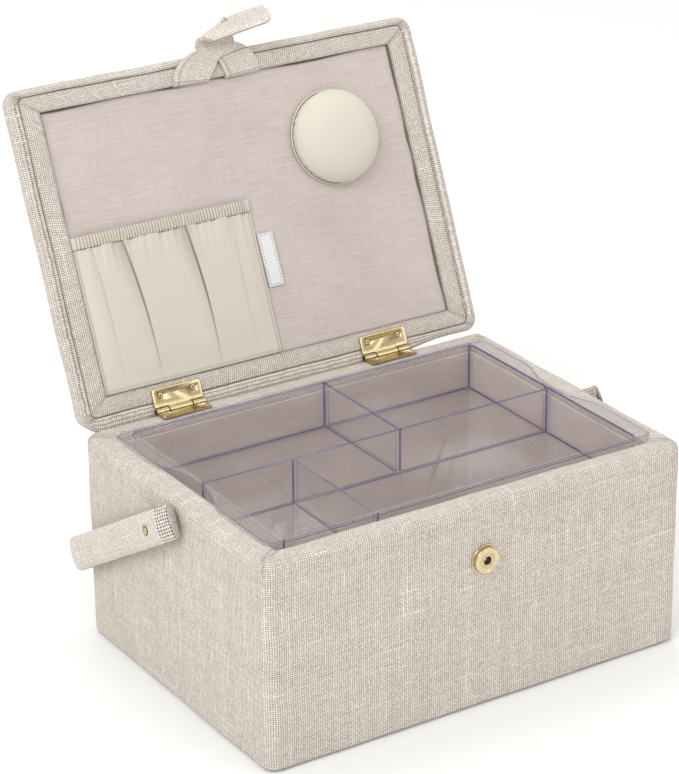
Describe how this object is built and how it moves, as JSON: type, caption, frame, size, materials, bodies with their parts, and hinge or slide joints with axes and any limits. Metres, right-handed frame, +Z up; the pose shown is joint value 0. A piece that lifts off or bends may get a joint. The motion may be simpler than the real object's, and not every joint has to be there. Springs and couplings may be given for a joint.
{
  "type": "sewing box",
  "caption": "Padded, linen-covered sewing box with a hinged lid on brass hinges, a lift-out clear tray, a swinging carrying handle, an inner pocket, a pincushion and a snap strap.",
  "frame": {"origin": "middle of the box's base, on the surface it stands on, under the middle of the 255 by 185 mm body", "axes": "+X to the right seen from the front, -Y towards the front with the snap, +Z up"},
  "size_m": [0.277, 0.2748, 0.3056],
  "materials": {
    "linen": "plain-woven natural linen with paler slubs, matt",
    "base_cloth": "plain cloth glued flat under the base, matt",
    "lining": "smooth lilac-grey lining with a fine horizontal weave, slight sheen",
    "pocket_cotton": "thin cream cotton, matt",
    "cushion_cotton": "smooth cream cotton stretched over stuffing",
    "label_tape": "plain white woven tape",
    "board": "unfinished fibreboard",
    "handle_strip": "plain stiff plastic strip",
    "padding": "soft polyester wadding",
    "clear_plastic": "clear moulded polystyrene, glossy",
    "snap_metal": "pale gold plate, satin",
    "gilt_metal": "bright brass plate"
  },
  "bodies": {
    "box": {"box_cover": "linen", "box_padding": "padding", "board_front": "board", "board_back": "board", "board_left": "board", "board_right": "board", "board_base": "board", "base_cloth": "base_cloth", "side_lining": "lining", "floor_lining": "lining", "snap_socket": "snap_metal", "handle_rivet_left": "gilt_metal", "handle_rivet_right": "gilt_metal", "rivet_washer_left": "gilt_metal", "rivet_washer_right": "gilt_metal", "hinge_left_lower_leaf": "gilt_metal", "hinge_left_pin": "gilt_metal", "hinge_left_lower_screw_1": "gilt_metal", "hinge_left_lower_screw_2": "gilt_metal", "hinge_right_lower_leaf": "gilt_metal", "hinge_right_pin": "gilt_metal", "hinge_right_lower_screw_1": "gilt_metal", "hinge_right_lower_screw_2": "gilt_metal"},
    "lid": {"lid_cover": "linen", "lid_padding": "padding", "lid_board": "board", "lid_border": "linen", "lid_lining": "lining", "pocket": "pocket_cotton", "pocket_hem": "pocket_cotton", "label_tag": "label_tape", "pincushion": "cushion_cotton", "pincushion_piping": "cushion_cotton", "strap_legs": "linen", "hinge_left_upper_leaf": "gilt_metal", "hinge_left_upper_screw_1": "gilt_metal", "hinge_left_upper_screw_2": "gilt_metal", "hinge_right_upper_leaf": "gilt_metal", "hinge_right_upper_screw_1": "gilt_metal", "hinge_right_upper_screw_2": "gilt_metal"},
    "tray": {"tray": "clear_plastic"},
    "handle": {"handle_cover": "linen", "handle_core": "handle_strip"},
    "strap": {"strap_neck": "linen"},
    "tab": {"strap_tab": "linen", "snap_plug": "snap_metal"}
  },
  "joints": [
    {"name": "lid_hinge", "type": "hinge", "parent": "box", "child": "lid", "pos_m": [0, 0.091, 0.11775], "axis": [-1, 0, 0], "range_deg": [-113.5, 0]},
    {"name": "tray_lift", "type": "slide", "parent": "box", "child": "tray", "axis": [0, 0, 1], "range_m": [0, 0.15]},
    {"name": "handle_swing", "type": "hinge", "parent": "box", "child": "handle", "pos_m": [0, 0.0089, 0.0963], "axis": [1, 0, 0], "range_deg": [0, 42]},
    {"name": "strap_bend", "type": "hinge", "parent": "lid", "child": "strap", "pos_m": [0.001, 0.16429, 0.28631], "axis": [-1, 0, 0], "range_deg": [-58.69, 0]},
    {"name": "tab_fold", "type": "hinge", "parent": "strap", "child": "tab", "pos_m": [0.001, 0.16836, 0.29566], "axis": [0.5923, 0.4802, 0.647], "range_deg": [-92.8, 0]}
  ]
}
